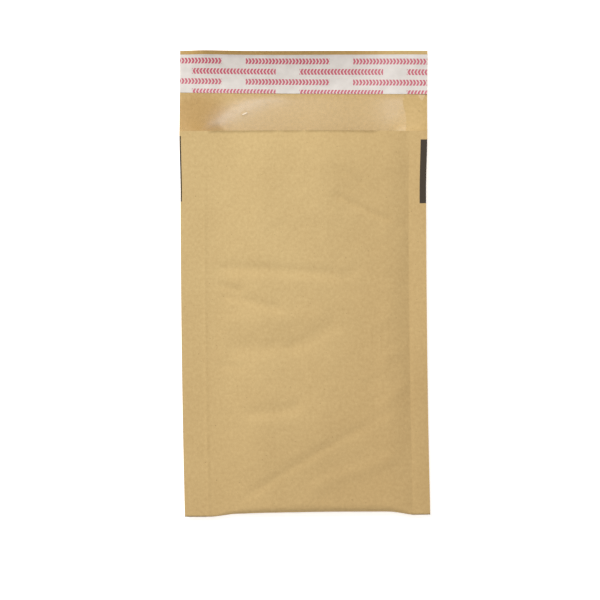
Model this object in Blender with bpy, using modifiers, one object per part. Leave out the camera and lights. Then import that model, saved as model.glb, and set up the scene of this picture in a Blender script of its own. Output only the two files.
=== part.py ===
"""A small padded mailing envelope, empty and unused, lying on its back with the flap open.

One kraft paper web is folded at the bottom into a pocket, and its longer end stays up as the flap.
A bubble film web lines the pocket. Its margins are crushed and welded between the paper margins,
which closes the side seams, and a flat tongue of it runs up the flap. Near the end of the flap a
band of pressure-sensitive adhesive waits under a peel-off release liner.

Units are metres. X runs across, +Y points from the bottom fold to the tip of the flap, +Z is up.
The origin is on the floor, under the middle of the open envelope.
"""

import math

import bmesh
import bpy
from mathutils import Vector

# Driving dimensions
WIDTH = 0.1200
POCKET_LENGTH = 0.1868
FLAP_LENGTH = 0.0394
LEFT_SEAM = 0.0124
RIGHT_SEAM = 0.0084
THICKNESS = 0.0106
SEAM_HEIGHT = 0.0036
FOLD_THICKNESS = 0.0068
FLAP_CURL = 0.0025

PAPER = 0.00015
PADDING = 0.0026
CRUSHED_FILM = 0.00015
FLAT_FILM = 0.0001
ADHESIVE = 0.0001
LINER = 0.0001
GAP = 0.0003

FRONT_SHOULDER = 0.016
BACK_SHOULDER = 0.012
FOLD_RAMP = 0.045
LINING_SETBACK = 0.001
POCKET_MARGIN = 0.001
TONGUE_LEFT = -0.0465
TONGUE_RIGHT = 0.0493
TONGUE_ROOT = 0.004
TONGUE_UNDER_LINER = 0.0012
LINER_FROM_TIP = 0.0019
LINER_WIDTH = 0.0188
ADHESIVE_FROM_LINER_EDGE = 0.0005

# Places that follow from them
BOTTOM = -(POCKET_LENGTH + FLAP_LENGTH) / 2
MOUTH = BOTTOM + POCKET_LENGTH
TIP = MOUTH + FLAP_LENGTH
LEFT = -WIDTH / 2
RIGHT = WIDTH / 2
POCKET_LEFT = LEFT + LEFT_SEAM
POCKET_RIGHT = RIGHT - RIGHT_SEAM
LINER_HIGH = TIP - LINER_FROM_TIP
LINER_LOW = LINER_HIGH - LINER_WIDTH
TONGUE_END = LINER_LOW + TONGUE_UNDER_LINER

# Heights of the middle of the paper, and the way in from there to the lining
HALF_SEAM = (CRUSHED_FILM + PAPER) / 2 + GAP
FRONT_AT_SEAM = SEAM_HEIGHT + HALF_SEAM
BACK_AT_SEAM = SEAM_HEIGHT - HALF_SEAM
FRONT_RISE = THICKNESS - PAPER / 2 - FRONT_AT_SEAM
FOLD_SHARE = (FOLD_THICKNESS - PAPER / 2 - FRONT_AT_SEAM) / FRONT_RISE
TO_LINING = PAPER / 2 + GAP
POCKET_SHARE = 1 - PADDING / ((THICKNESS - PAPER) / 2 - TO_LINING)

# A fold of radius r takes pi/2 * r of each panel and reaches out only r past its own centre,
# so the thick middle of the envelope ends short of its thin seams.
FOLD_TAKES_IN = math.pi / 2 - 1
FOLD_STEPS = 8


def spaced(start, end, steps):
    """Evenly spaced values from start up to, but without, end."""
    return [start + (end - start) * i / steps for i in range(steps)]


def rising(distance, width):
    """0 at the start, steepest there, and easing off to 1 once distance reaches width."""
    share = min(max(distance / width, 0), 1)
    return 1 - (1 - share) ** 2


def fullness(x, shoulder):
    """How full the envelope is at x: 0 in the seams, 1 between the shoulders."""
    return rising(x - POCKET_LEFT, shoulder) * rising(POCKET_RIGHT - x, shoulder)


def front_height(x, y):
    """Middle of the front paper, which climbs from the bottom fold to the full thickness."""
    climb = FOLD_SHARE + (1 - FOLD_SHARE) * rising(y - BOTTOM, FOLD_RAMP)
    return FRONT_AT_SEAM + FRONT_RISE * fullness(x, FRONT_SHOULDER) * climb


def back_height(x, y):
    """Middle of the back paper. It lies on the floor between the seams, and past the mouth it
    flattens out and curls up a little towards the tip of the flap."""
    lift = (BACK_AT_SEAM - PAPER / 2) * (1 - fullness(x, BACK_SHOULDER))
    past_mouth = min(max((y - MOUTH) / FLAP_LENGTH, 0), 1)
    return PAPER / 2 + lift * (1 - past_mouth) ** 2 + FLAP_CURL * past_mouth**2


def on_flap(y):
    """Places points above the flap's paper, depth away from its middle."""
    return lambda x, depth, share: Vector((x, y, back_height(x, y) + depth))


def on_panel(y, side):
    """Places points inside the front (side 1) or the back (side -1), depth in from its middle.
    A share under 1 then brings them closer to the middle of the pocket."""

    def place(x, depth, share):
        low, high = back_height(x, y), front_height(x, y)
        return Vector((x, y, (low + high) / 2 + side * share * ((high - low) / 2 - depth)))

    return place


def on_fold(angle):
    """The same for the bottom fold. angle is 0 where the back starts to turn up, and a half turn
    where it has become the front."""

    def place(x, depth, share):
        low, high = back_height(x, BOTTOM), front_height(x, BOTTOM)
        radius = (high - low) / 2
        centre = BOTTOM + PAPER / 2 + radius + FOLD_TAKES_IN * (radius - HALF_SEAM)
        reach = share * (radius - depth)
        return Vector((x, centre - reach * math.sin(angle), (low + high) / 2 - reach * math.cos(angle)))

    return place


def round_the_fold(top):
    """Rows from top down the back, round the bottom fold, and up the front to top again."""
    ramp = BOTTOM + FOLD_RAMP
    turn = BOTTOM + FOLD_THICKNESS
    heights = [*spaced(top, ramp, 4), *spaced(ramp, turn, 4), turn]
    back = [on_panel(y, -1) for y in heights]
    fold = [on_fold(angle) for angle in [*spaced(0, math.pi, FOLD_STEPS), math.pi]]
    front = [on_panel(y, 1) for y in reversed(heights)]
    return back + fold + front


def stations(left, right):
    """Places across from left to right, close together on the shoulders."""
    inner_left = POCKET_LEFT + FRONT_SHOULDER
    inner_right = POCKET_RIGHT - FRONT_SHOULDER
    steps = [
        *spaced(LEFT, POCKET_LEFT, 2),
        *spaced(POCKET_LEFT, inner_left, 7),
        *spaced(inner_left, inner_right, 4),
        *spaced(inner_right, POCKET_RIGHT, 7),
        *spaced(POCKET_RIGHT, RIGHT, 2),
    ]
    return [left, *(x for x in steps if left < x < right), right]


def material(name, colour, roughness):
    made = bpy.data.materials.new(name)
    made.use_nodes = True
    shader = made.node_tree.nodes["Principled BSDF"]
    shader.inputs["Base Color"].default_value = (*colour, 1)
    shader.inputs["Roughness"].default_value = roughness
    shader.inputs["Metallic"].default_value = 0
    return made


def new_object(name, shape, collection, finish):
    """An object from a bmesh, with its faces pointing out."""
    bmesh.ops.recalc_face_normals(shape, faces=shape.faces)
    mesh = bpy.data.meshes.new(name)
    shape.to_mesh(mesh)
    shape.free()
    mesh.shade_smooth()
    mesh.materials.append(finish)
    made = bpy.data.objects.new(name, mesh)
    collection.objects.link(made)
    return made


def bent_sheet(name, across, rows, depth, thickness, collection, finish):
    """A flat grid carried row by row to its bent shape, then thickened both ways."""
    shape = bmesh.new()
    columns, lines = len(across) - 1, len(rows) - 1
    bmesh.ops.create_grid(shape, x_segments=columns, y_segments=lines, size=0.5)
    for vertex in shape.verts:
        column = round((vertex.co.x + 0.5) * columns)
        line = round((vertex.co.y + 0.5) * lines)
        vertex.co = rows[line](across[column], depth, 1)
    made = new_object(name, shape, collection, finish)
    solid = made.modifiers.new("Thickness", "SOLIDIFY")
    solid.thickness = thickness
    solid.offset = 0
    return made


def lofted(name, across, rows, share, collection, finish):
    """A closed body through one ring of points at each station, with a flat cap at each end."""
    shape = bmesh.new()
    rings = [[shape.verts.new(row(x, TO_LINING, share)) for row in rows] for x in across]
    for ring, following in zip(rings, rings[1:]):
        for i in range(len(rows)):
            shape.faces.new((ring[i - 1], ring[i], following[i], following[i - 1]))
    shape.faces.new(rings[0])
    shape.faces.new(rings[-1])
    return new_object(name, shape, collection, finish)


def flap_strip(name, left, right, low, high, depth, thickness, collection, finish):
    """A thin strip that lies on the inner face of the flap, with its underside at depth."""
    rows = [on_flap(y) for y in [*spaced(high, low, 4), low]]
    middle = depth + thickness / 2
    return bent_sheet(name, stations(left, right), rows, middle, thickness, collection, finish)


def combine(target, tool, operation):
    joined = target.modifiers.new(tool.name, "BOOLEAN")
    joined.operation = operation
    joined.object = tool
    joined.solver = "EXACT"
    tool.display_type = "WIRE"
    tool.hide_render = True


def make_kraft_outer(parts):
    """The paper web: down the flap and the back, round the bottom fold and up the front."""
    finish = material("kraft paper", (0.63, 0.45, 0.21), 0.85)
    rows = [on_flap(y) for y in spaced(TIP, MOUTH, 6)] + round_the_fold(MOUTH)
    bent_sheet("kraft_outer", stations(LEFT, RIGHT), rows, 0, PAPER, parts, finish)


def make_bubble_lining(parts, tools):
    """The film web: padding all round the pocket, welded margins, and the tongue on the flap."""
    finish = material("bubble film", (0.75, 0.77, 0.78), 0.3)
    rim = MOUTH - LINING_SETBACK
    outer = round_the_fold(rim)
    lining = lofted("bubble_lining", stations(LEFT, RIGHT), outer, 1, parts, finish)

    across = stations(POCKET_LEFT + POCKET_MARGIN, POCKET_RIGHT - POCKET_MARGIN)
    inner = round_the_fold(MOUTH + POCKET_MARGIN)
    pocket = lofted("pocket", across, inner, POCKET_SHARE, tools, finish)
    combine(lining, pocket, "DIFFERENCE")

    low, high = rim - TONGUE_ROOT, TONGUE_END
    depth = TO_LINING + FLAT_FILM
    tongue = flap_strip("tongue", TONGUE_LEFT, TONGUE_RIGHT, low, high, depth, FLAT_FILM, tools, finish)
    combine(lining, tongue, "UNION")


def make_adhesive_strip(parts):
    """Pressure-sensitive adhesive across the flap, level with the tongue's film and just past it."""
    finish = material("pressure-sensitive adhesive", (0.80, 0.78, 0.70), 0.25)
    low, high = TONGUE_END + GAP, LINER_HIGH - ADHESIVE_FROM_LINER_EDGE
    depth = TO_LINING + FLAT_FILM
    flap_strip("adhesive_strip", LEFT, RIGHT, low, high, depth, ADHESIVE, parts, finish)


def make_release_liner(parts):
    """The peel-off strip that covers the adhesive and the end of the tongue."""
    finish = material("siliconised liner paper", (0.68, 0.64, 0.60), 0.5)
    depth = TO_LINING + FLAT_FILM + ADHESIVE + GAP
    flap_strip("release_liner", LEFT, RIGHT, LINER_LOW, LINER_HIGH, depth, LINER, parts, finish)


def new_collection(name):
    made = bpy.data.collections.new(name)
    bpy.context.scene.collection.children.link(made)
    return made


def build():
    for thing in list(bpy.data.objects):
        bpy.data.objects.remove(thing, do_unlink=True)
    parts = new_collection("padded envelope")
    tools = new_collection("cutters")
    make_kraft_outer(parts)
    make_bubble_lining(parts, tools)
    make_adhesive_strip(parts)
    make_release_liner(parts)


build()
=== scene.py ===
"""A small padded mailing envelope, open and empty, lying on its back: folded kraft paper lined with
bubble film, and a peel-off liner over the adhesive on its flap. Lengths are in metres."""

import math

import bpy
import numpy as np
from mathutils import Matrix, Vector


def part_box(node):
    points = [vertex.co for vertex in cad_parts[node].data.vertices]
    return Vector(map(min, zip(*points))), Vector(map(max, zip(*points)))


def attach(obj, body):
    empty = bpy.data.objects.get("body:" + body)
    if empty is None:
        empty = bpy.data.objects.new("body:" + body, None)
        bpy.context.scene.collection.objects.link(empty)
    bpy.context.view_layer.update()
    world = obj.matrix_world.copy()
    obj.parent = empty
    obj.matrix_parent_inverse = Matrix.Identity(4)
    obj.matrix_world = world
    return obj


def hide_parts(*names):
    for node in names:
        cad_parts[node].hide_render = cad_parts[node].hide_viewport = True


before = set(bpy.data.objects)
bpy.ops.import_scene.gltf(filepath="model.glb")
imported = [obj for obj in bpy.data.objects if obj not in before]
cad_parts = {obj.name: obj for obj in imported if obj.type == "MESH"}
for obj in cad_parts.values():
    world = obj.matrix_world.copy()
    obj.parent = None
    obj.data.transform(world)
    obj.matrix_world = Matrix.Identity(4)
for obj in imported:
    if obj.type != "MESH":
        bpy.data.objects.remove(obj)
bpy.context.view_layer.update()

# ---------------------------------------------------------------------------------------------
# Kraft paper web
# One sheet of 105 g/m2 kraft, creased at the bottom fold: back panel, front panel and flap. The
# side margins are pressed together over the welded film, and the pocket between them stands a
# little open. The paper has the soft dents of an envelope that has been packed in a stack.

kraft_low, kraft_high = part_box("kraft_outer")
WIDTH = kraft_high.x - kraft_low.x
PAPER = 0.00015
POCKET_LENGTH = 0.1868
FLAP_LENGTH = kraft_high.y - kraft_low.y - POCKET_LENGTH
MOUTH = kraft_low.y + POCKET_LENGTH
LEFT_MARGIN = 0.0124
RIGHT_MARGIN = 0.0086
SEAM_LEFT = kraft_low.x + LEFT_MARGIN
SEAM_RIGHT = kraft_high.x - RIGHT_MARGIN
SEAM_HEIGHT = 0.0036
HALF_SEAM = 0.00016
FRONT_TOP = kraft_high.z - 0.0005
QUARTER_BEND = math.pi / 2 - 1
HALF_WEB = POCKET_LENGTH - PAPER / 2 + QUARTER_BEND * HALF_SEAM
WEB_LENGTH = FLAP_LENGTH + 2 * HALF_WEB

BUBBLE_SPACING = 0.0096
BUBBLE_RADIUS = 0.0043


def eased(distance, width):
    """0 at the start, easing in and out again to 1 once distance reaches width."""
    share = np.clip(distance / width, 0, 1)
    return share**2 * (3 - 2 * share)


def bubbles(x, along):
    """1 on the crown of each round bubble, 0 between them. The bubbles stand in staggered rows."""
    row_spacing = BUBBLE_SPACING * math.sqrt(3)
    nearest = np.full(np.broadcast(x, along).shape, 1.0)
    for shift in (0, 0.5):
        dx = (x / BUBBLE_SPACING + shift + 0.5) % 1 - 0.5
        dy = (along / row_spacing + shift + 0.5) % 1 - 0.5
        nearest = np.minimum(nearest, np.hypot(dx * BUBBLE_SPACING, dy * row_spacing) / BUBBLE_RADIUS)
    return (1 - np.minimum(nearest, 1) ** 2.6) ** 0.6


def waves(x, y, size, seed):
    """A smooth random surface between about -1 and 1, with humps about size apart. It is the sum of
    14 sine waves that run every way."""
    chance = np.random.default_rng(seed)
    total = 0
    for _ in range(14):
        angle, phase = chance.uniform(0, 2 * math.pi, 2)
        pitch = 2 * math.pi / (size * chance.uniform(1.4, 3.0))
        total = total + np.sin(pitch * (x * math.cos(angle) + y * math.sin(angle)) + phase)
    return total / 5


# Soft dents and creases of the front, in mm: both ends from the middle of the envelope, how far the
# middle bows up, half the width, and the depth (below 0 is a ridge).
FRONT_CREASES = [
    ((-48, 7.0), (18, 4.0), 1.0, 3.0, 0.82),
    ((18, 4.0), (31, 8), 0.0, 3.0, 0.20),
    ((-50, 0), (-30, -4), 0.5, 2.0, 0.70),
    ((-41, -6), (-10, -13), 0.5, 2.4, 0.62),
    ((-42, -20), (8, -16), 0.5, 5.0, -0.45),
    ((-38, -33), (-2, -29), 0.0, 4.5, 0.60),
    ((-8, -33), (17, -18), -0.8, 3.8, 0.48),
    ((-45, -40), (-29, -41), 0.3, 2.2, 0.35),
    ((-30, -63), (-2, -59), -0.8, 3.2, 0.60),
    ((-30, -104), (30, -68.5), 0.8, 2.3, 0.43),
    ((0, -101), (44, -85), 0.5, 3.4, -0.44),
    ((15, 57), (29, 47), 0.0, 1.4, 0.44),
    ((15, 43), (43, 30), -0.5, 1.4, 0.68),
    ((-20, 24), (10, 26), 1.0, 5.0, 0.20),
    ((30, -46), (38, -66), 1.0, 5.0, 0.25),
    ((35, -22), (44, -12), 0.0, 3.0, -0.22),
    ((36, -41), (46, -31), 0.5, 3.0, -0.22),
    ((38, -60), (49, -49), 0.0, 3.0, -0.22),
]


def creases(x, y, strokes):
    """How far dents lie below the sheet around them. Each starts to fade an eighth of its length
    before its ends."""
    depth = 0
    for (x0, y0), (x1, y1), bow, width, deepest in strokes:
        length = math.hypot(x1 - x0, y1 - y0)
        along_x, along_y = (x1 - x0) / length, (y1 - y0) / length
        dx, dy = x * 1000 - x0, y * 1000 - y0
        share = (dx * along_x + dy * along_y) / length
        bowed = 4 * bow * share * (1 - share)
        off = dy * along_x - dx * along_y - bowed
        ends = np.exp(-np.clip(np.abs(share - 0.5) - 0.38, 0, None) ** 2 / 0.012)
        depth = depth + deepest / 1000 * np.exp(-((off / width) ** 2)) * ends
    return depth


RIGHT_DROOP = 0.0012
BACK_DENTS = 0.00012
FLAP_RIPPLE = 0.00025
FLAP_RISE = 0.0012
CURL = 0.0038
CURL_AT_CORNERS = 0.12
CURL_LENGTH = 0.024
TIP_KICK = 0.0009
TIP_LENGTH = 0.0034


def droop(x, y):
    """The right margin hangs a little towards the bottom fold."""
    outward = np.clip((x - SEAM_RIGHT) / RIGHT_MARGIN, 0, 1)
    return RIGHT_DROOP * outward**1.5 * eased(-0.01 - y, 0.06)


def back_height(x, y):
    """Middle of the back paper: on the floor, up to the seams at the sides. Past the mouth it
    flattens out, and all but its right end curls up towards the tip."""
    at_seam = SEAM_HEIGHT - HALF_SEAM - PAPER / 2
    past_mouth = np.clip((y - MOUTH) / FLAP_LENGTH, 0, 1)
    spread = 0.009 * eased(y - MOUTH + 0.004, 0.008)
    level = eased(x - SEAM_LEFT + 0.001 + spread, 0.014 + 0.5 * spread)
    level = level * eased(SEAM_RIGHT + 0.001 + spread - x, 0.013 + spread)
    lift = at_seam * (1 - level) * (1 - past_mouth) ** 3
    dents = BACK_DENTS * (1 + waves(x, y, 0.016, 3)) * level
    ripple = FLAP_RIPPLE * (1 + waves(x, y, 0.020, 8)) * past_mouth
    in_middle = eased(x - kraft_low.x, 0.014) * eased(0.042 - x, 0.045)
    curled = CURL_AT_CORNERS + (1 - CURL_AT_CORNERS) * in_middle
    from_tip = kraft_high.y - y
    curl = FLAP_RISE * past_mouth**2 + CURL * curled * np.clip(1 - from_tip / CURL_LENGTH, 0, 1) ** 2
    tip = TIP_KICK * (curled - CURL_AT_CORNERS) * np.clip(1 - from_tip / TIP_LENGTH, 0, 1) ** 2
    return PAPER / 2 + lift - droop(x, y) + np.maximum(dents, 0) + ripple + curl + tip


RIM_HEIGHT = 0.00070
RIM_WIDTH = 0.0012
RIM_NICKS = ((-0.0118, 0.0007), (0.0, 0.0009))


def turned_up(x, y):
    """The cut rim of the front is turned up a touch over its last millimetre, with two nicks."""
    near_rim = np.clip(1 - (MOUTH - y) / RIM_WIDTH, 0, 1) ** 1.4
    length = eased(x + 0.047, 0.003) * eased(0.037 - x, 0.004)
    nicks = sum(np.exp(-(((x - middle) / half_width) ** 2)) for middle, half_width in RIM_NICKS)
    return RIM_HEIGHT * near_rim * length * (1 - 0.9 * nicks)


PADDING_EDGE_LEFT = 0.030
PADDING_EDGE_RIGHT = 0.013
SHARE_AT_FOLD = 0.50
SEAM_RIDGE = 0.00022


def front_height(x, y):
    """Middle of the front paper: it rises from the seams over the edge of the padding, and then on
    as a low cushion. Near the mouth and the bottom fold it sinks again. A fine ridge runs along
    the left seam, where the welding bar pushed the paper up."""
    from_left, from_right = x - SEAM_LEFT, SEAM_RIGHT - x
    right_shoulder = 1 - np.clip(1 - from_right / PADDING_EDGE_RIGHT, 0, 1) ** 2
    over_padding = eased(from_left, PADDING_EDGE_LEFT) * right_shoulder * (from_right > 0)
    cushion = eased(from_left, 0.060) * eased(from_right, 0.046)
    steep = 0.34 + 0.16 * eased(MOUTH - y, 0.09) + 0.2 * eased(-0.093 - y, 0.02)
    at_seam = SEAM_HEIGHT + HALF_SEAM
    rise = (FRONT_TOP - at_seam) * (steep * over_padding + (1 - steep) * cushion)
    climb = SHARE_AT_FOLD + (1 - SHARE_AT_FOLD) * eased(y - kraft_low.y, 0.050)
    sag = 1 - 0.34 * np.clip(1 - (MOUTH - y) / 0.022, 0, 1) ** 2
    soft = 0.00012 * waves(x, y, 0.013, 21) + 0.00006 * waves(x, y, 0.005, 22)
    between = 0.00005 * (bubbles(x, MOUTH - y) - 1)
    dents = creases(x, y, FRONT_CREASES)
    free = np.minimum(1, 4 * over_padding * climb)
    ridge = SEAM_RIDGE * np.exp(-(((from_left + 0.0007) / 0.0009) ** 2)) * eased(MOUTH - y, 0.06)
    lying = at_seam - droop(x, y) + ridge + turned_up(x, y)
    return lying + rise * climb * sag + (soft + between - dents) * free


def on_web(x, along, depth):
    """Points of the folded web: x across and along from the flap's tip, depth in from the middle of
    the paper, which is up on the flap and towards the pocket everywhere else."""
    down = along - FLAP_LENGTH
    fold_low, fold_high = back_height(x, kraft_low.y), front_height(x, kraft_low.y)
    radius = (fold_high - fold_low) / 2
    centre = kraft_low.y + PAPER / 2 + radius + QUARTER_BEND * (radius - HALF_SEAM)
    straight = MOUTH - centre
    angle = np.clip((down - straight) / radius, 0, math.pi)
    past = down - straight - math.pi * radius
    in_fold, on_front = (angle > 0) & (past < 0), past >= 0
    y = np.where(on_front, centre + past, MOUTH - down)
    low, high = back_height(x, y), front_height(x, y)
    side = np.where(on_front, 1, -1)
    z = (low + high) / 2 + side * ((high - low) / 2 - depth)
    z = np.where(down < 0, low + depth, z)
    y = np.where(in_fold, centre - (radius - depth) * np.sin(angle), y)
    z = np.where(in_fold, (fold_low + fold_high) / 2 - (radius - depth) * np.cos(angle), z)
    return settled(np.stack(np.broadcast_arrays(x, y, z), axis=-1))


DRAWN_IN_SHARE = 0.0095
FOLD_ASKEW = 0.0010
LENGTHWISE_BEND = 0.075


def settled(points):
    """The whole envelope lies very slightly bent, its puffed pocket draws its sides in, its bottom
    was folded a little askew, and the curl draws the tip of the flap back."""
    x, y = points[..., 0], points[..., 1]
    drawn_in = DRAWN_IN_SHARE * eased(MOUTH - y, 0.03)
    askew = FOLD_ASKEW * eased(x - kraft_low.x, WIDTH) * eased(-0.05 - y, 0.06)
    uneven = 0.00065 + 0.0003 * np.cos(2 * math.pi * (x + 0.012) / 0.13)
    drawn_back = uneven * np.clip((y - MOUTH) / FLAP_LENGTH, 0, 1) ** 2
    bent_x = x * (1 - drawn_in) + LENGTHWISE_BEND * (y - 0.055) ** 2 - 0.0001
    return np.stack([bent_x, y + askew - drawn_back, points[..., 2]], -1)


def sheet_mesh(name, skins, marks):
    """A closed sheet from two grids of points, one a face, joined all round by its cut edge. The
    marks are where each point was on the flat web: the materials take their patterns from them."""
    rows, columns = skins[0].shape[:2]
    other_face = rows * columns
    index = np.arange(other_face).reshape(rows, columns)
    quads = np.stack([index[:-1, :-1], index[:-1, 1:], index[1:, 1:], index[1:, :-1]], -1)
    quads = quads.reshape(-1, 4)
    rim = np.concatenate([index[0, :-1], index[:-1, -1], index[-1, :0:-1], index[:0:-1, 0]])
    after = np.roll(rim, -1)
    cut_edge = np.stack([after, rim, rim + other_face, after + other_face], -1)
    points = np.concatenate([skin.reshape(-1, 3) for skin in skins])
    faces = np.concatenate([quads, quads[:, ::-1] + other_face, cut_edge])
    mesh = bpy.data.meshes.new(name)
    mesh.from_pydata(points.tolist(), [], faces.tolist())
    flat = np.tile(marks.reshape(-1, 3), (2, 1)).astype(np.float32)
    mesh.attributes.new("web", "FLOAT_VECTOR", "POINT").data.foreach_set("vector", flat.ravel())
    mesh.shade_smooth()
    at_rim = np.zeros(len(points), bool)
    at_rim[rim] = at_rim[rim + other_face] = True
    ends = np.zeros(2 * len(mesh.edges), np.int32)
    mesh.edges.foreach_get("vertices", ends)
    sharp = at_rim[ends.reshape(-1, 2)].all(axis=1)
    mesh.attributes.new("sharp_edge", "BOOLEAN", "EDGE").data.foreach_set("value", sharp)
    made = bpy.data.objects.new(name, mesh)
    bpy.context.scene.collection.objects.link(made)
    return made


def runs(*stretches):
    """Values along several stretches, each (start, end, step)."""
    values = [np.linspace(a, b, round((b - a) / step) + 1)[:-1] for a, b, step in stretches]
    return np.append(np.concatenate(values), stretches[-1][1])


def flat_marks(x, along):
    return np.stack([x, along, 0 * x], -1)


across = runs(
    (kraft_low.x, SEAM_LEFT - 0.002, 0.0010),
    (SEAM_LEFT - 0.002, SEAM_LEFT + 0.002, 0.0004),
    (SEAM_LEFT + 0.002, SEAM_RIGHT - 0.002, 0.00092),
    (SEAM_RIGHT - 0.002, SEAM_RIGHT + 0.002, 0.0004),
    (SEAM_RIGHT + 0.002, kraft_high.x, 0.0010),
)
fold_from = FLAP_LENGTH + HALF_WEB - 0.009
fold_to = FLAP_LENGTH + HALF_WEB + 0.009
along = runs(
    (0, FLAP_LENGTH, 0.0013),
    (FLAP_LENGTH, fold_from, 0.0026),
    (fold_from, fold_to, 0.0007),
    (fold_to, WEB_LENGTH - 0.002, 0.0011),
    (WEB_LENGTH - 0.002, WEB_LENGTH, 0.0004),
)
web_x, web_along = np.meshgrid(across, along)
inner_skin = on_web(web_x, web_along, PAPER / 2)
outer_skin = on_web(web_x, web_along, -PAPER / 2)
kraft = sheet_mesh("kraft_envelope", [outer_skin, inner_skin], flat_marks(web_x, web_along))
quads_per_skin = (len(along) - 1) * (len(across) - 1)
OUTSIDE, INSIDE, CUT_EDGE = 0, 1, 2
skin_of_face = np.full(len(kraft.data.polygons), CUT_EDGE)
skin_of_face[:quads_per_skin] = OUTSIDE
skin_of_face[quads_per_skin : 2 * quads_per_skin] = INSIDE


def linear(hex_colour):
    """An sRGB hex colour as linear red, green, blue and alpha 1."""
    channels = [int(hex_colour[i : i + 2], 16) / 255 for i in (1, 3, 5)]
    return (*(c / 12.92 if c <= 0.04045 else ((c + 0.055) / 1.055) ** 2.4 for c in channels), 1)


def add(tree, kind, inputs=(), output=0, **settings):
    """Adds a node with its settings and its inputs, values or links, and gives one of its outputs."""
    made = tree.nodes.new(kind)
    for name, value in settings.items():
        setattr(made, name, value)
    for socket, value in dict(inputs).items():
        if isinstance(value, bpy.types.NodeSocket):
            tree.links.new(value, made.inputs[socket])
        else:
            made.inputs[socket].default_value = value
    return made.outputs[output]


def new_material(name):
    made = bpy.data.materials.new(name)
    made.use_nodes = True
    made.node_tree.nodes.clear()
    return made, made.node_tree


def finish_surface(tree, shader):
    add_output = tree.nodes.new("ShaderNodeOutputMaterial")
    tree.links.new(shader, add_output.inputs["Surface"])


def fibre_pattern(tree, place):
    """Kraft fibres are 1 to 3 mm long and 0.03 mm wide. They are drawn about ten times as wide, in
    two leanings to the machine direction, because the real width is too fine to show."""
    strands = []
    for angle in (0.35, -0.5):
        turned = add(tree, "ShaderNodeMapping", {"Vector": place, "Rotation": (0, 0, angle)})
        drawn = add(tree, "ShaderNodeMapping", {"Vector": turned, "Scale": (2600, 420, 2600)})
        strand = add(tree, "ShaderNodeTexNoise", {"Vector": drawn, "Scale": 1.0, "Detail": 2.0})
        strands.append(strand)
    return add(tree, "ShaderNodeMix", {0: 0.5, 2: strands[0], 3: strands[1]}, data_type="FLOAT")


OUTER_FACE = "kraft paper, outer face"
INNER_FACE = "kraft paper, inner face"


def kraft_material(name, light, dark, fleck, roughness):
    """Kraft paper: unbleached pulp on a fourdrinier wire. The eye sees a warm tan with cloudy
    mottling 1.6 mm across, fine crossing fibres, a few dark shives, and no shine."""
    made, tree = new_material(name)
    web = add(tree, "ShaderNodeAttribute", attribute_name="web", output="Vector")
    cloud = add(
        tree,
        "ShaderNodeTexNoise",
        {"Vector": web, "Scale": 620.0, "Detail": 4.0, "Roughness": 0.7},
    )
    shade = add(tree, "ShaderNodeTexNoise", {"Vector": web, "Scale": 45.0, "Detail": 2.0})
    fibres = fibre_pattern(tree, web)
    mottled = add(tree, "ShaderNodeMath", {0: cloud, 1: 0.5}, operation="MULTIPLY")
    mottled = add(tree, "ShaderNodeMath", {0: shade, 1: 0.15, 2: mottled}, operation="MULTIPLY_ADD")
    mottled = add(tree, "ShaderNodeMath", {0: fibres, 1: 0.25, 2: mottled}, operation="MULTIPLY_ADD")
    tone = add(tree, "ShaderNodeMapRange", {0: mottled, 1: 0.30, 2: 0.59})
    colour = add(
        tree,
        "ShaderNodeMix",
        {0: tone, 6: linear(dark), 7: linear(light)},
        2,
        data_type="RGBA",
    )
    specks = add(tree, "ShaderNodeTexNoise", {"Vector": web, "Scale": 900.0, "Detail": 1.0})
    speck = add(tree, "ShaderNodeMapRange", {0: specks, 1: 0.74, 2: 0.79, 4: 0.6})
    colour = add(tree, "ShaderNodeMix", {0: speck, 6: colour, 7: linear(fleck)}, 2, data_type="RGBA")
    if name == OUTER_FACE:
        # Painted warm shade towards the bottom fold and the right edge.
        warm_shade_share = painted_warm_shade(tree, web)
        colour = add(
            tree,
            "ShaderNodeMix",
            {0: warm_shade_share, 6: colour, 7: linear("#FDF7F2")},
            2,
            data_type="RGBA",
            blend_type="MULTIPLY",
        )
        bars = eye_marks(tree, web, cloud)
        ink = add(tree, "ShaderNodeMath", {0: bars, 1: 0.97}, operation="MULTIPLY")
        colour = add(
            tree,
            "ShaderNodeMix",
            {0: ink, 6: colour, 7: linear("#312921")},
            2,
            data_type="RGBA",
        )
    if name == INNER_FACE:
        # A darker patch at the left corner of the mouth, and painted shade on the curled tip.
        corner_and_tip_shade = darker_corner_and_tip_shade(tree, web, cloud)
        colour = add(
            tree,
            "ShaderNodeMix",
            {0: corner_and_tip_shade, 6: colour, 7: linear("#E9DCC6")},
            2,
            data_type="RGBA",
            blend_type="MULTIPLY",
        )
    bumps = add(tree, "ShaderNodeMath", {0: cloud, 1: 0.6, 2: fibres}, operation="MULTIPLY_ADD")
    relief = add(tree, "ShaderNodeBump", {"Height": bumps, "Strength": 0.35, "Distance": 0.00012})
    gloss = add(tree, "ShaderNodeMapRange", {0: fibres, 3: roughness - 0.06, 4: roughness + 0.06})
    shader = add(
        tree,
        "ShaderNodeBsdfPrincipled",
        {"Base Color": colour, "Roughness": gloss, "Normal": relief, "IOR": 1.5},
    )
    finish_surface(tree, shader)
    return made


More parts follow.
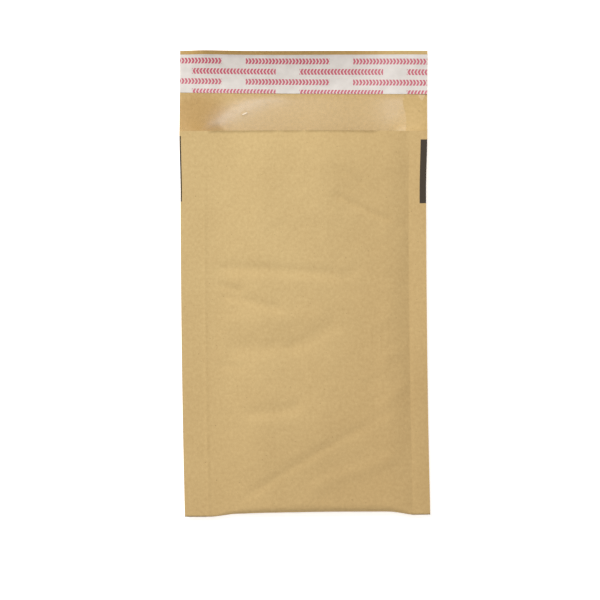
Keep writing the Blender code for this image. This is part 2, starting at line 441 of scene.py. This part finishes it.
def painted_warm_shade(tree, web):
    """Painted warm shade: the outer face is painted a little redder and darker towards the bottom
    fold and towards its right edge, where less lamp light falls."""
    x = add(tree, "ShaderNodeSeparateXYZ", {0: web}, output="X")
    y = x.node.outputs["Y"]
    from_fold = add(tree, "ShaderNodeMath", {0: y, 1: FLAP_LENGTH + HALF_WEB}, operation="SUBTRACT")
    from_fold = add(tree, "ShaderNodeMath", {0: from_fold}, operation="ABSOLUTE")
    near_fold = add(tree, "ShaderNodeMapRange", {0: from_fold, 2: 0.14, 3: 0.75, 4: 0.0})
    near_edge = add(tree, "ShaderNodeMapRange", {0: x, 1: -0.01, 2: 0.055, 4: 0.6})
    return add(tree, "ShaderNodeMath", {0: near_fold, 1: near_edge}, operation="ADD", use_clamp=True)


def inside_band(tree, value, low, high, soft):
    """1 where value is between low and high, with edges soft wide."""
    over = add(tree, "ShaderNodeMapRange", {0: value, 1: low - soft / 2, 2: low + soft / 2})
    under = add(tree, "ShaderNodeMapRange", {0: value, 1: high + soft / 2, 2: high - soft / 2})
    return add(tree, "ShaderNodeMath", {0: over, 1: under}, operation="MULTIPLY")


def eye_marks(tree, web, cloud):
    """Black bars at the side edges of the front, which a cutting machine's light eye follows. The
    web was cut a little to one side, so the right bar shows 3.2 mm and the left one 0.7 mm."""
    place = add(tree, "ShaderNodeSeparateXYZ", {0: web}, output="X")
    y = place.node.outputs["Y"]
    wobble = add(tree, "ShaderNodeMath", {0: cloud, 1: 0.00025, 2: y}, operation="MULTIPLY_ADD")
    masks = []
    past_edge = 0.001
    for left, right, from_mouth, length in (
        (kraft_high.x - 0.0032, kraft_high.x + past_edge, 0.0040, 0.0309),
        (kraft_low.x - past_edge, kraft_low.x + 0.0007, 0.0023, 0.0318),
    ):
        end = WEB_LENGTH - from_mouth
        wide = inside_band(tree, place, left, right, 0.00012)
        long = inside_band(tree, wobble, end - length, end, 0.00012)
        masks.append(add(tree, "ShaderNodeMath", {0: wide, 1: long}, operation="MULTIPLY"))
    return add(tree, "ShaderNodeMath", {0: masks[0], 1: masks[1]}, operation="MAXIMUM")


def darker_corner_and_tip_shade(tree, web, cloud):
    """The inner face painted darker: a round patch at the left corner by the mouth, and painted shade
    on the curled tip above the liner, all but its right end."""
    centre = (kraft_low.x + 0.009, FLAP_LENGTH - 0.0075, 0)
    outward = add(tree, "ShaderNodeVectorMath", {0: web, 1: centre}, operation="SUBTRACT")
    outward = add(tree, "ShaderNodeVectorMath", {0: outward, 1: (75, 100, 0)}, operation="MULTIPLY")
    reach = add(tree, "ShaderNodeVectorMath", {0: outward}, output="Value", operation="LENGTH")
    reach = add(tree, "ShaderNodeMath", {0: cloud, 1: 0.4, 2: reach}, operation="MULTIPLY_ADD")
    at_mouth = add(tree, "ShaderNodeMapRange", {0: reach, 1: 1.65, 2: 0.95, 4: 0.8})
    x = add(tree, "ShaderNodeSeparateXYZ", {0: web}, output="X")
    y = x.node.outputs["Y"]
    at_tip = add(tree, "ShaderNodeMapRange", {0: y, 1: 0.0045, 2: 0.0025})
    share = add(tree, "ShaderNodeMapRange", {0: x, 1: 0.030, 2: 0.044, 3: 0.7, 4: 0.0})
    at_tip = add(tree, "ShaderNodeMath", {0: at_tip, 1: share}, operation="MULTIPLY")
    return add(tree, "ShaderNodeMath", {0: at_mouth, 1: at_tip}, operation="MAXIMUM")


for face in (
    (OUTER_FACE, "#CDB27C", "#BA9D69", "#8A6C44", 0.84),
    (INNER_FACE, "#CBAB70", "#B49559", "#8A6A40", 0.60),
    ("kraft paper, cut edge", "#D6BC8E", "#C6A878", "#9A7C54", 0.92),
):
    kraft.data.materials.append(kraft_material(*face))
kraft.data.polygons.foreach_set("material_index", skin_of_face)
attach(kraft, "root")
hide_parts("kraft_outer")

# ---------------------------------------------------------------------------------------------
# Bubble film lining
# Low-density polyethylene in two layers: a smooth one that faces the pocket, and one drawn into
# round bubbles that bear on the paper. It is folded with the paper, and its side margins are
# crushed flat and welded between the paper margins.

FILM = 0.00004
PADDING = 0.0026
FILM_START = PAPER / 2 + 0.00004
FILM_MARGIN = 0.0001
FILM_RIM = 0.001


def film_depths(x, along):
    """Depths of the bubble side and of the smooth side, in from the middle of the paper."""
    fold_low, fold_high = back_height(x, kraft_low.y), front_height(x, kraft_low.y)
    down = along - FLAP_LENGTH
    y = np.clip(MOUTH - np.minimum(down, 2 * HALF_WEB - down), kraft_low.y, MOUTH)
    room = (front_height(x, y) - back_height(x, y)) / 2
    fold_share = np.clip((y - kraft_low.y) / 0.016, 0, 1)
    room = np.minimum(room, (fold_high - fold_low) / 2 * (1 - fold_share) + room * fold_share)
    smooth = FILM_START + np.minimum(PADDING, 0.62 * np.maximum(room - FILM_START, 0))
    smooth = np.maximum(np.minimum(smooth, room - 0.00001), FILM_START + 0.00001)
    height = np.maximum(smooth - FILM_START - FILM, 0) * bubbles(x, down)
    return np.maximum(smooth - FILM - height, FILM_START), smooth


film_across = runs(
    (kraft_low.x + FILM_MARGIN, SEAM_LEFT - 0.002, 0.00105),
    (SEAM_LEFT - 0.002, SEAM_LEFT + 0.002, 0.0004),
    (SEAM_LEFT + 0.002, SEAM_RIGHT - 0.002, 0.00105),
    (SEAM_RIGHT - 0.002, SEAM_RIGHT + 0.002, 0.0004),
    (SEAM_RIGHT + 0.002, kraft_high.x - FILM_MARGIN, 0.00105),
)
rim_on_back = FLAP_LENGTH + FILM_RIM
rim_on_front = WEB_LENGTH - FILM_RIM
film_along = runs(
    (rim_on_back, rim_on_back + 0.030, 0.0007),
    (rim_on_back + 0.030, rim_on_front - 0.030, 0.0014),
    (rim_on_front - 0.030, rim_on_front, 0.0007),
)
film_x, film_a = np.meshgrid(film_across, film_along)
bubble_depth, smooth_depth = film_depths(film_x, film_a)
lining = sheet_mesh(
    "bubble_film_lining",
    [on_web(film_x, film_a, bubble_depth), on_web(film_x, film_a, smooth_depth)],
    flat_marks(film_x, film_a),
)

# Blown polyethylene film: nearly clear and glossy, with faint clouds and ripples from the drawing.
film_clear, tree = new_material("polyethylene bubble film")
web = add(tree, "ShaderNodeAttribute", attribute_name="web", output="Vector")
drawn = add(tree, "ShaderNodeTexNoise", {"Vector": web, "Scale": 260.0, "Detail": 3.0})
haze = add(tree, "ShaderNodeMapRange", {0: drawn, 1: 0.35, 2: 0.65, 3: 0.08, 4: 0.16})
relief = add(tree, "ShaderNodeBump", {"Height": drawn, "Strength": 0.5, "Distance": 0.0003})
shader = add(
    tree,
    "ShaderNodeBsdfPrincipled",
    {
        "Base Color": linear("#F6EFDF"),
        "Roughness": 0.16,
        "IOR": 1.51,
        "Alpha": haze,
        "Normal": relief,
    },
)
finish_surface(tree, shader)
lining.data.materials.append(film_clear)
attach(lining, "root")
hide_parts("bubble_lining")

# ---------------------------------------------------------------------------------------------
# Film tongue on the flap
# The end of the same web without bubbles, laid on the flap and tacked to it. Where it clings the
# paper shows through dark and golden, and where it has come loose it catches light, with a milky
# sheen painted on it.

liner_low, liner_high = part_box("release_liner")
TONGUE_LEFT, TONGUE_RIGHT = kraft_low.x + 0.0003, 0.0489
TUCKED_IN = 0.0009
TONGUE_START, TONGUE_END = MOUTH - TUCKED_IN, liner_low.y + 0.0012
tongue_x, tongue_y = np.meshgrid(
    runs((TONGUE_LEFT, TONGUE_RIGHT, 0.0006)),
    runs((TONGUE_START, TONGUE_END, 0.0004)),
)
ragged = 0.0006 * waves(0, tongue_y, 0.005, 35)
slanting = 0.0012 * (1 - eased(tongue_y - MOUTH, 0.018))
tongue_x += (ragged + slanting) * eased(tongue_x, TONGUE_RIGHT)


def ridge_share(x, y, stroke):
    """1 on the crest of one stroke, given as the creases of the front are, and 0 away from it."""
    return -1000 * creases(x, y, [(*stroke, -1.0)])


def pinch(x, y):
    """A short sharp pinch in the film, 1 on its crest."""
    return ridge_share(x, y, ((-30.0, 81.6), (-27.0, 83.1), 0.0, 1.0))


def looseness(x, y):
    """0 where the film clings to the flap, 1 where it stands off. It has let go in a fan that opens
    from the left corner of the mouth, most along a streak across it, and a little at its right end."""
    from_x, from_y = x + 0.053, y - 0.0725
    angle = np.degrees(np.arctan2(from_y, from_x))
    fan = eased(46 - angle, 14) * (0.4 + 0.6 * np.exp(-(((angle - 26) / 12) ** 2)))
    fan *= eased(np.hypot(from_x, from_y), 0.010) * np.exp(-np.clip(from_x - 0.02, 0, 1) / 0.035)
    streak = ridge_share(x, y, ((-49, 74), (-8, 93), 3.0, 4.2))
    right_end = np.exp(-(((x - 0.044) / 0.008) ** 2)) * eased(y - 0.073, 0.012)
    slack = eased(x + 0.046, 0.02)
    tucked = eased(liner_low.y - y, 0.004)
    loosened = 0.36 * fan + 0.46 * streak + 0.30 * right_end + 0.14 * slack
    return np.clip(loosened, 0, 0.85) * tucked


def film_lift(x, y):
    """How far the film stands off the flap."""
    ripples = 0.00009 * (1 + waves(x, y, 0.007, 31)) + 0.00005 * (1 + waves(x, y, 0.003, 33))
    return 0.00003 + looseness(x, y) * (0.00014 + ripples) + 0.00016 * pinch(x, y)


tongue_z = back_height(tongue_x, tongue_y) + PAPER / 2 + film_lift(tongue_x, tongue_y)
tongue_low = settled(np.stack([tongue_x, tongue_y, tongue_z], -1))
tongue_top = settled(np.stack([tongue_x, tongue_y, tongue_z + FILM], -1))
tongue_marks = flat_marks(tongue_x, tongue_y)
tongue = sheet_mesh("film_tongue", [tongue_low[::-1], tongue_top[::-1]], tongue_marks[::-1])
# The looseness also sets where the milky sheen and the glint are painted on the film.
loose = np.maximum(looseness(tongue_x, tongue_y), pinch(tongue_x, tongue_y))
loose = np.tile(loose[::-1].ravel(), 2).astype(np.float32)
tongue.data.attributes.new("loose", "FLOAT", "POINT").data.foreach_set("value", loose)

# Film on paper: clear where the two touch, because little light turns back between them. Where air
# has come in between, both sides of the film mirror the lamps softly, and a milky sheen is painted
# over it. A white glint is painted on the pinch.
film_tongue, tree = new_material("polyethylene film on the flap")
web = add(tree, "ShaderNodeAttribute", attribute_name="web", output="Vector")
air = add(tree, "ShaderNodeAttribute", attribute_name="loose", output="Fac")
drawn = add(tree, "ShaderNodeTexNoise", {"Vector": web, "Scale": 650.0, "Detail": 3.0})
relief = add(tree, "ShaderNodeBump", {"Height": drawn, "Strength": 0.5, "Distance": 0.0003})
# Painted milky sheen where the film stands off, and a painted white glint on the pinch.
haze = add(tree, "ShaderNodeMapRange", {0: air, 3: 0.0, 4: 0.07})
painted_glint = add(tree, "ShaderNodeMapRange", {0: air, 1: 0.86, 2: 0.97, 3: 0.0, 4: 0.75})
haze = add(tree, "ShaderNodeMath", {0: haze, 1: painted_glint}, operation="MAXIMUM")
mirrored = add(tree, "ShaderNodeFresnel", {"IOR": 1.51})
open_share = add(tree, "ShaderNodeMapRange", {0: air, 3: 0.02, 4: 0.75})
mirrored = add(tree, "ShaderNodeMath", {0: mirrored, 1: open_share}, operation="MULTIPLY")
clear = add(tree, "ShaderNodeBsdfTransparent", {"Color": (1, 1, 1, 1)}, "BSDF")
shine = add(
    tree,
    "ShaderNodeBsdfAnisotropic",
    {"Color": (1, 1, 1, 1), "Roughness": 0.34, "Normal": relief},
    "BSDF",
)
# The white coat that paints the sheen and the glint.
painted_milky_sheen = add(
    tree,
    "ShaderNodeBsdfPrincipled",
    {"Base Color": linear("#FFEFD2"), "Roughness": 0.5, "IOR": 1.51, "Normal": relief},
)
surface = add(tree, "ShaderNodeMixShader", {0: mirrored, 1: clear, 2: shine})
surface = add(tree, "ShaderNodeMixShader", {0: haze, 1: surface, 2: painted_milky_sheen})
finish_surface(tree, surface)
tongue.data.materials.append(film_tongue)
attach(tongue, "root")

# ---------------------------------------------------------------------------------------------
# Adhesive band
# Clear pressure-sensitive hot melt, coated 0.06 mm thick across the flap, under the liner. A little
# has run out below the liner at its right end.

COAT = 0.00006
COAT_GAP = 0.00004
RUN_OUT = 0.0052
RUN_OUT_MIDDLE = 0.0574
RUN_OUT_HALF_WIDTH = 0.0020
glue_low, glue_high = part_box("adhesive_strip")
glue_x, glue_y = np.meshgrid(
    runs((kraft_low.x, 0.052, 0.0012), (0.052, kraft_high.x, 0.0004)),
    runs((glue_low.y, glue_high.y, 0.0012)),
)
run_out = RUN_OUT * np.exp(-(((glue_x - RUN_OUT_MIDDLE) / RUN_OUT_HALF_WIDTH) ** 2))
glue_y -= run_out * (glue_high.y - glue_y) / (glue_high.y - glue_low.y)
glue_z = back_height(glue_x, glue_y) + PAPER / 2 + COAT_GAP
glue = sheet_mesh(
    "adhesive_band",
    [
        settled(np.stack([glue_x, glue_y, glue_z], -1))[::-1],
        settled(np.stack([glue_x, glue_y, glue_z + COAT], -1))[::-1],
    ],
    flat_marks(glue_x, glue_y)[::-1],
)
# Hot melt sets clear and straw-coloured, with the slight waves of the roller that coated it.
hot_melt, tree = new_material("pressure-sensitive hot melt")
web = add(tree, "ShaderNodeAttribute", attribute_name="web", output="Vector")
coat = add(tree, "ShaderNodeTexNoise", {"Vector": web, "Scale": 500.0, "Detail": 2.0})
relief = add(tree, "ShaderNodeBump", {"Height": coat, "Strength": 0.3, "Distance": 0.0002})
colour = add(
    tree,
    "ShaderNodeMix",
    {0: coat, 6: linear("#E6C88E"), 7: linear("#F0D9AC")},
    2,
    data_type="RGBA",
)
shader = add(
    tree,
    "ShaderNodeBsdfPrincipled",
    {"Base Color": colour, "Roughness": 0.2, "IOR": 1.48, "Alpha": 0.6, "Normal": relief},
)
finish_surface(tree, shader)
glue.data.materials.append(hot_melt)
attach(glue, "root")
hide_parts("adhesive_strip")

# ---------------------------------------------------------------------------------------------
# Release liner
# A strip of thin white glassine, siliconised on its underside and printed in red, that peels off
# the adhesive. It was laid a little askew, so its lower edge falls to the right, and its right
# lower corner has already let go.

LINER = 0.00006
LINER_GAP = 0.00012
LIFTED_CORNER = 0.0009
LIFTED_ALONG = 0.009
LIFTED_UP = 0.007
LOWER_EDGE_AT_LEFT = 0.0002
LOWER_EDGE_FALL = 0.0008
PRINT_FALL = 0.0004
strip_x, strip_y = np.meshgrid(
    runs((kraft_low.x, kraft_high.x, 0.0008)),
    runs((liner_low.y, liner_high.y, 0.0006)),
)
corner = np.clip(1 - (kraft_high.x - strip_x) / LIFTED_ALONG, 0, 1)
corner *= np.clip(1 - (strip_y - liner_low.y) / LIFTED_UP, 0, 1)
strip_z = back_height(strip_x, strip_y) + PAPER / 2 + LINER_GAP + LIFTED_CORNER * corner**2
strip_z += 0.00005 * (1 + waves(strip_x, strip_y, 0.008, 41))
along_strip = (strip_x - kraft_low.x) / WIDTH
skew = LOWER_EDGE_AT_LEFT - LOWER_EDGE_FALL * along_strip
skewed_y = strip_y + skew * (liner_high.y - strip_y) / (liner_high.y - liner_low.y)
liner = sheet_mesh(
    "release_liner_strip",
    [
        settled(np.stack([strip_x, skewed_y, strip_z], -1))[::-1],
        settled(np.stack([strip_x, skewed_y, strip_z + LINER], -1))[::-1],
    ],
    flat_marks(strip_x, strip_y - PRINT_FALL * (1 - along_strip))[::-1],
)

INK_ROW_PITCH = 0.00503
INK_FIRST_ROW = 0.0034
INK_HEIGHT = 0.0028
INK_RUN = 0.0406
INK_REPEAT = 0.0521
INK_START = -0.0281
ARROW_PITCH = 0.00163
ARROW_STROKE = 0.00105


def arrow_print(tree, place):
    """Rows of small arrowheads in runs, every other row half a repeat along and pointing back."""
    x = add(tree, "ShaderNodeSeparateXYZ", {0: place}, output="X")
    y = x.node.outputs["Y"]
    top = liner_high.y - INK_FIRST_ROW + INK_ROW_PITCH / 2
    down = add(tree, "ShaderNodeMath", {0: top, 1: y}, operation="SUBTRACT")
    rows = add(tree, "ShaderNodeMath", {0: down, 1: INK_ROW_PITCH}, operation="DIVIDE")
    row = add(tree, "ShaderNodeMath", {0: rows}, operation="FLOOR")
    odd = add(tree, "ShaderNodeMath", {0: row, 1: 2.0}, operation="MODULO")
    within = add(tree, "ShaderNodeMath", {0: rows}, operation="FRACT")
    centred = add(tree, "ShaderNodeMath", {0: within, 1: 0.5}, operation="SUBTRACT")
    off = add(tree, "ShaderNodeMath", {0: centred}, operation="ABSOLUTE")
    off = add(tree, "ShaderNodeMath", {0: off, 1: INK_ROW_PITCH}, operation="MULTIPLY")
    half, soft = INK_HEIGHT / 2, 0.00005
    tall = add(tree, "ShaderNodeMapRange", {0: off, 1: half + soft, 2: half - soft})
    half_on = INK_REPEAT / 2
    moved = add(tree, "ShaderNodeMath", {0: odd, 1: half_on, 2: INK_START}, operation="MULTIPLY_ADD")
    from_start = add(tree, "ShaderNodeMath", {0: x, 1: moved}, operation="SUBTRACT")
    run = add(tree, "ShaderNodeMath", {0: from_start, 1: 0.0, 2: INK_REPEAT}, operation="WRAP")
    in_run = inside_band(tree, run, 0.0, INK_RUN, 0.0001)
    lean = add(tree, "ShaderNodeMath", {0: odd, 1: -1.1, 2: 0.55}, operation="MULTIPLY_ADD")
    slanted = add(tree, "ShaderNodeMath", {0: off, 1: lean, 2: run}, operation="MULTIPLY_ADD")
    step = add(tree, "ShaderNodeMath", {0: slanted, 1: 0.0, 2: ARROW_PITCH}, operation="WRAP")
    stroke = inside_band(tree, step, 0.0003, 0.0003 + ARROW_STROKE, 0.0001)
    ink = add(tree, "ShaderNodeMath", {0: stroke, 1: tall}, operation="MULTIPLY")
    return add(tree, "ShaderNodeMath", {0: ink, 1: in_run}, operation="MULTIPLY")


# Glassine is beaten and calendered until it is smooth, thin and faintly cloudy. It has a low sheen
# from the silicone, and the one-colour print is thin enough to look uneven.
glassine, tree = new_material("siliconised glassine, printed")
web = add(tree, "ShaderNodeAttribute", attribute_name="web", output="Vector")
cloud = add(tree, "ShaderNodeTexNoise", {"Vector": web, "Scale": 220.0, "Detail": 4.0})
tone = add(tree, "ShaderNodeMapRange", {0: cloud, 1: 0.35, 2: 0.65})
paper = add(
    tree,
    "ShaderNodeMix",
    {0: tone, 6: linear("#CBC4BD"), 7: linear("#D5CEC7")},
    2,
    data_type="RGBA",
)
thin = add(tree, "ShaderNodeTexNoise", {"Vector": web, "Scale": 1500.0, "Detail": 2.0})
cover = add(tree, "ShaderNodeMapRange", {0: thin, 1: 0.3, 2: 0.7, 3: 0.75, 4: 1.0})
ink = add(tree, "ShaderNodeMath", {0: arrow_print(tree, web), 1: cover}, operation="MULTIPLY")
colour = add(tree, "ShaderNodeMix", {0: ink, 6: paper, 7: linear("#B4224A")}, 2, data_type="RGBA")
relief = add(tree, "ShaderNodeBump", {"Height": cloud, "Strength": 0.25, "Distance": 0.0002})
shader = add(
    tree,
    "ShaderNodeBsdfPrincipled",
    {"Base Color": colour, "Roughness": 0.42, "IOR": 1.5, "Normal": relief},
)
finish_surface(tree, shader)
liner.data.materials.append(glassine)
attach(liner, "root")
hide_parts("release_liner")

# ---------------------------------------------------------------------------------------------
# Table, light and camera
# A white table that glows faintly, as a lit sweep does, a large soft lamp beyond the flap's left
# corner, a small one overhead, and a long lens straight above.

bpy.ops.mesh.primitive_plane_add(size=8)
floor = bpy.context.object
floor.name = "floor"
table_white, tree = new_material("white laminate table")
grain = add(tree, "ShaderNodeTexNoise", {"Scale": 400.0})
gloss = add(tree, "ShaderNodeMapRange", {0: grain, 3: 0.85, 4: 0.95})
shader = add(
    tree,
    "ShaderNodeBsdfPrincipled",
    {
        "Base Color": linear("#F4F4F4"),
        "Roughness": gloss,
        "Emission Color": (1, 1, 1, 1),
        "Emission Strength": 0.44,
    },
)
finish_surface(tree, shader)
floor.data.materials.append(table_white)

world = bpy.data.worlds.new("white walls and a dim ceiling")
world.use_nodes = True
tree = world.node_tree
direction = add(tree, "ShaderNodeTexCoord", output="Generated")
height = add(tree, "ShaderNodeSeparateXYZ", {0: direction}, output="Z")
glow = add(tree, "ShaderNodeMapRange", {0: height, 1: 0.02, 2: 0.15, 3: 0.95, 4: 0.30})
tree.nodes["Background"].inputs["Color"].default_value = (1, 1, 1, 1)
tree.links.new(glow, tree.nodes["Background"].inputs["Strength"])
bpy.context.scene.world = world


def soft_lamp(name, place, size, power):
    lamp = bpy.data.lights.new(name, "AREA")
    lamp.size = size
    lamp.energy = power
    made = bpy.data.objects.new(name, lamp)
    made.location = place
    made.rotation_euler = (-made.location).to_track_quat("-Z", "Y").to_euler()
    bpy.context.scene.collection.objects.link(made)


soft_lamp("key lamp", (-0.54, 0.756, 1.053), 0.54, 13.5)
soft_lamp("overhead lamp", (0.0, 0.05, 1.0), 0.14, 3.0)

lens = bpy.data.cameras.new("long lens")
lens.lens = 135
lens.sensor_width = 36
camera = bpy.data.objects.new("camera", lens)
view_width = 0.2914
camera.location = (-0.0017, -0.00815, view_width * lens.lens / lens.sensor_width)
bpy.context.scene.collection.objects.link(camera)
bpy.context.scene.camera = camera
bpy.context.scene.view_settings.view_transform = "Standard"
